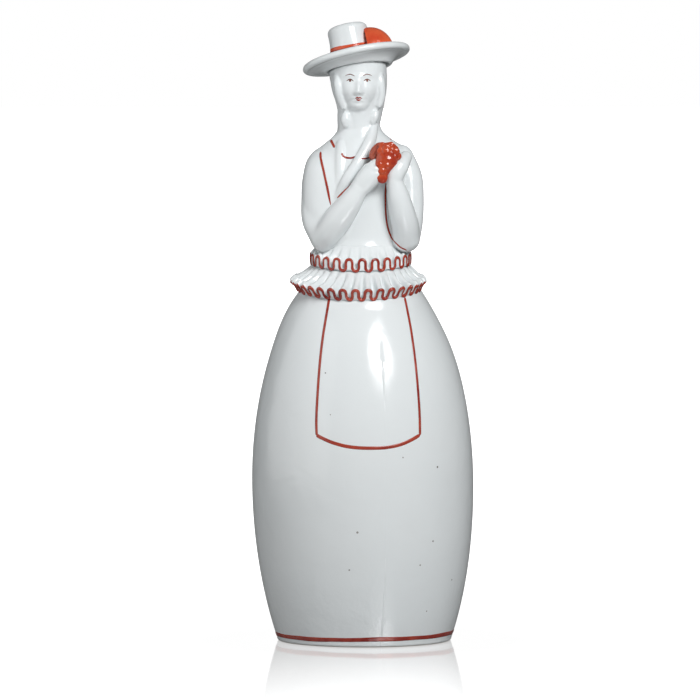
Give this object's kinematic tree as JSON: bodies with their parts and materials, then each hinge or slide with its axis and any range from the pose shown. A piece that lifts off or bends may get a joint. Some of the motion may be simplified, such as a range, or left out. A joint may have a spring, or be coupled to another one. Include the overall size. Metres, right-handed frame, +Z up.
{
  "type": "porcelain bottle",
  "caption": "Figural bottle: a lady in a bell-shaped crinoline whose hat lifts off as the stopper; white glaze with red enamel lines.",
  "frame": {"origin": "middle of the foot ring, on the surface it stands on", "axes": "+Z up along the bottle, -Y the way the lady faces, +X her left side"},
  "size_m": [0.1074, 0.1074, 0.3005],
  "materials": {
    "white_glaze": "cool white glaze, high gloss",
    "red_enamel": "iron-red overglaze enamel, glossy, brushed by hand",
    "bisque": "unglazed biscuit porcelain, matt",
    "cork": "natural cork, matt"
  },
  "bodies": {
    "bottle": {"skirt_shell": "white_glaze", "lower_frill": "white_glaze", "upper_frill": "white_glaze", "bodice_shell": "white_glaze", "right_arm": "white_glaze", "left_arm": "white_glaze", "neck_and_head": "white_glaze", "right_curl": "white_glaze", "left_curl": "white_glaze", "right_tress": "white_glaze", "left_tress": "white_glaze", "posy": "red_enamel", "posy_leaf": "red_enamel"},
    "cork": {"cork_sleeve": "cork"},
    "hat": {"stopper_peg": "bisque", "hat_brim": "white_glaze", "hat_crown": "white_glaze", "hat_plume": "red_enamel"}
  },
  "joints": [
    {"name": "stopper_lift", "type": "slide", "parent": "bottle", "child": "cork", "axis": [-0.2079, 0.195, 0.9585], "range_m": [0, 0.06]},
    {"name": "hat_turn", "type": "hinge", "parent": "cork", "child": "hat", "pos_m": [-0.0022, 0, 0.27849], "axis": [-0.2079, 0.195, 0.9585], "continuous": true}
  ]
}
